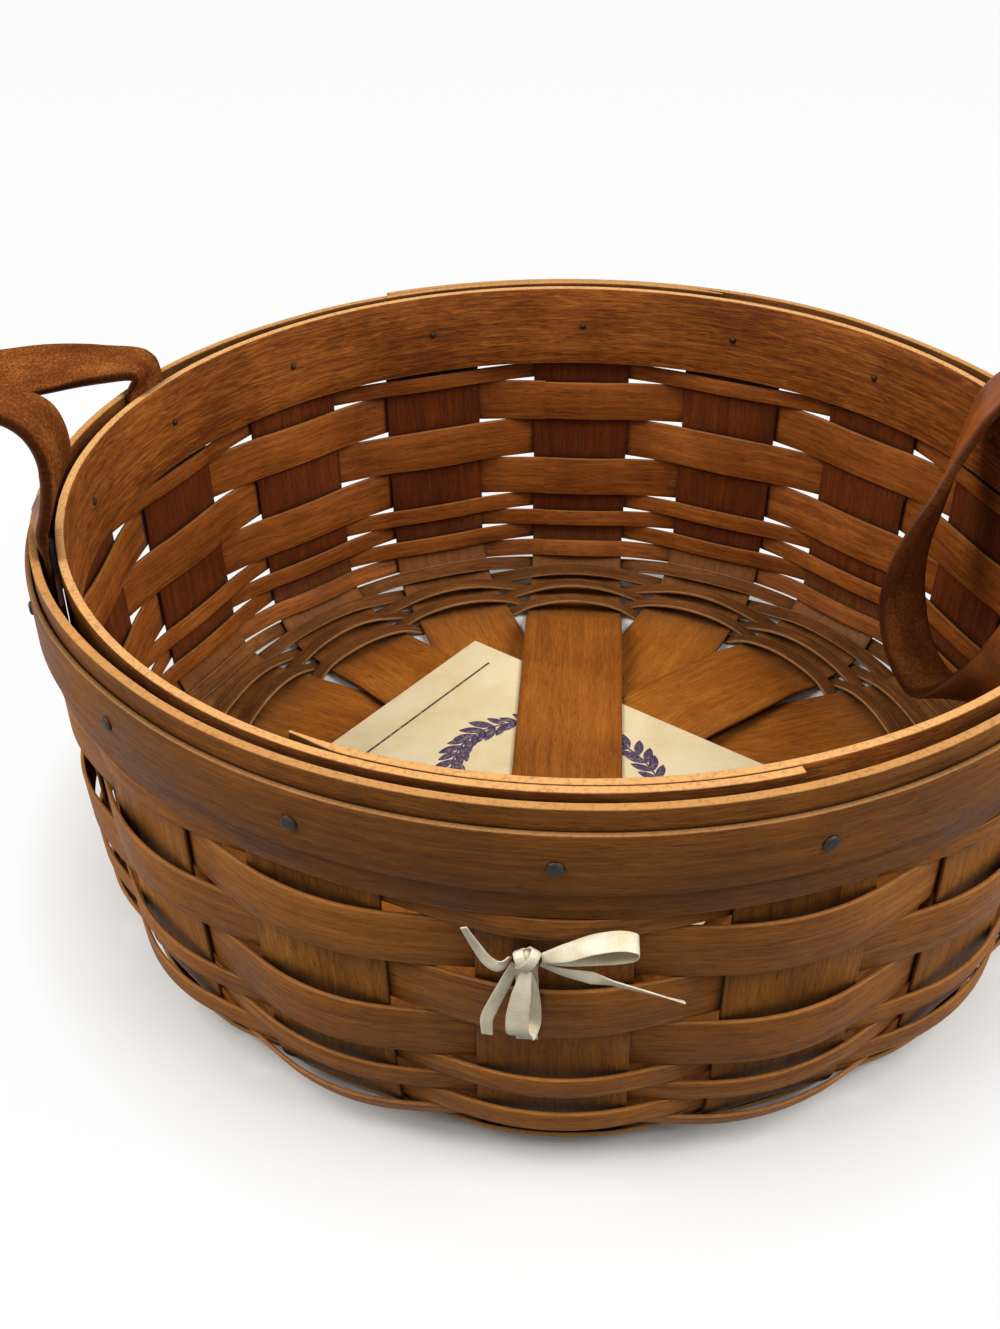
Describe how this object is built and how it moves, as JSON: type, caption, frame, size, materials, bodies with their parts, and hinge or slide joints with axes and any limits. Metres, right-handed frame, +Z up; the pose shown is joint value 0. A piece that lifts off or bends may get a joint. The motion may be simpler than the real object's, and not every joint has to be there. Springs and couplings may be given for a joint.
{
  "type": "darning basket",
  "caption": "Round shallow woven splint basket with banded rim, leather strap handles that swing at the rim, a tied ribbon bow and a card under the base splint, for sewing and mending things.",
  "frame": {"origin": "middle of the base, on the surface that the basket stands on", "axes": "+Z up along the basket's axis, +X towards the right handle, +Y away from the side with the bow"},
  "size_m": [0.3024, 0.2664, 0.1382],
  "materials": {
    "splint_wood": "satin",
    "weaver_wood": "satin",
    "base_ring_wood": "matte",
    "band_wood": "satin",
    "tack_steel": "dull",
    "strap_leather": "smooth on one side, rough on the other",
    "ribbon_satin": "satin",
    "card_paper": "matte"
  },
  "bodies": {
    "basket": {"splint_1": "splint_wood", "splint_2": "splint_wood", "splint_3": "splint_wood", "splint_4": "splint_wood", "splint_5": "splint_wood", "splint_6": "splint_wood", "splint_7": "splint_wood", "splint_8": "splint_wood", "weaver_top": "weaver_wood", "weaver_wide_1": "weaver_wood", "weaver_wide_2": "weaver_wood", "weaver_wide_3": "weaver_wood", "weaver_narrow_1": "weaver_wood", "weaver_narrow_2": "weaver_wood", "weaver_narrow_3": "weaver_wood", "weaver_narrow_4": "weaver_wood", "base_ring_1": "base_ring_wood", "base_ring_2": "base_ring_wood", "base_ring_3": "base_ring_wood", "base_ring_4": "base_ring_wood", "base_ring_5": "base_ring_wood", "base_ring_6": "base_ring_wood", "inner_band": "band_wood", "outer_band": "band_wood", "trim_strip": "band_wood", "tack_1": "tack_steel", "tack_2": "tack_steel", "tack_3": "tack_steel", "tack_4": "tack_steel", "tack_5": "tack_steel", "tack_6": "tack_steel", "tack_7": "tack_steel", "tack_8": "tack_steel", "tack_9": "tack_steel", "tack_10": "tack_steel", "tack_11": "tack_steel", "tack_12": "tack_steel", "tack_13": "tack_steel", "tack_14": "tack_steel", "tack_15": "tack_steel", "tack_16": "tack_steel", "left_strap_front_end": "strap_leather", "left_strap_back_end": "strap_leather", "right_strap_front_end": "strap_leather", "right_strap_back_end": "strap_leather", "bow_turn": "ribbon_satin", "bow_knot": "ribbon_satin", "bow_loop_right": "ribbon_satin", "bow_loop_down": "ribbon_satin", "bow_tail_left": "ribbon_satin", "bow_tail_down": "ribbon_satin", "bow_tail_right": "ribbon_satin", "paper_card": "card_paper"},
    "left_handle": {"left_strap_loop": "strap_leather"},
    "right_handle": {"right_strap_loop": "strap_leather"}
  },
  "joints": [
    {"name": "left_handle_swing", "type": "hinge", "parent": "basket", "child": "left_handle", "pos_m": [-0.11709, 0, 0.1072], "axis": [0, 1, 0], "range_deg": [-5, 68]},
    {"name": "right_handle_swing", "type": "hinge", "parent": "basket", "child": "right_handle", "pos_m": [0.11709, 0, 0.1072], "axis": [0, 1, 0], "range_deg": [0, 170]}
  ]
}
